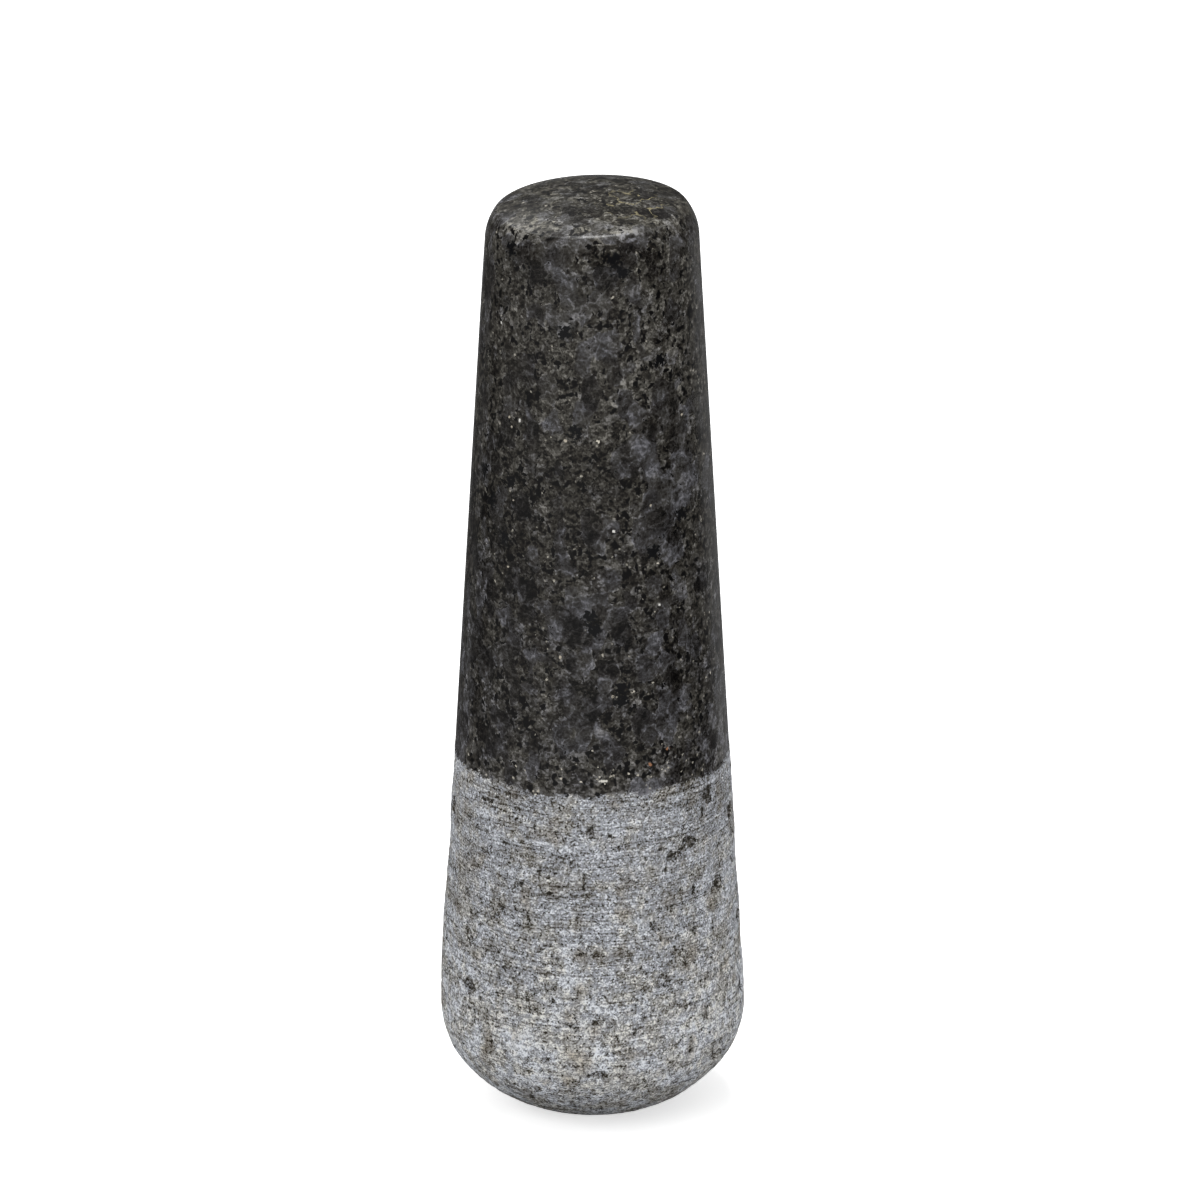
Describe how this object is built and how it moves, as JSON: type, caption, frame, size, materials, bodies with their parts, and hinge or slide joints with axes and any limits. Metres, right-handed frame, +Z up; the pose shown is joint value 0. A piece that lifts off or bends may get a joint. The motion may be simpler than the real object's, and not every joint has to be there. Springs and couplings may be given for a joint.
{
  "type": "granite pestle",
  "caption": "Tapered solid granite pestle with a matt domed grinding head, a polished grip and a crowned top, standing on a small flat on its head.",
  "frame": {"origin": "centre of the standing flat on the tip of the grinding head", "axes": "+Z up the axis of the pestle, from the grinding head to the crowned top; +X to the side where the top stands a little higher"},
  "size_m": [0.035, 0.035, 0.11],
  "materials": {
    "granite": "dark granite, polished over the grip and ground matt and pale grey on the head"
  },
  "bodies": {
    "root": {"pestle": "granite"}
  },
  "joints": []
}
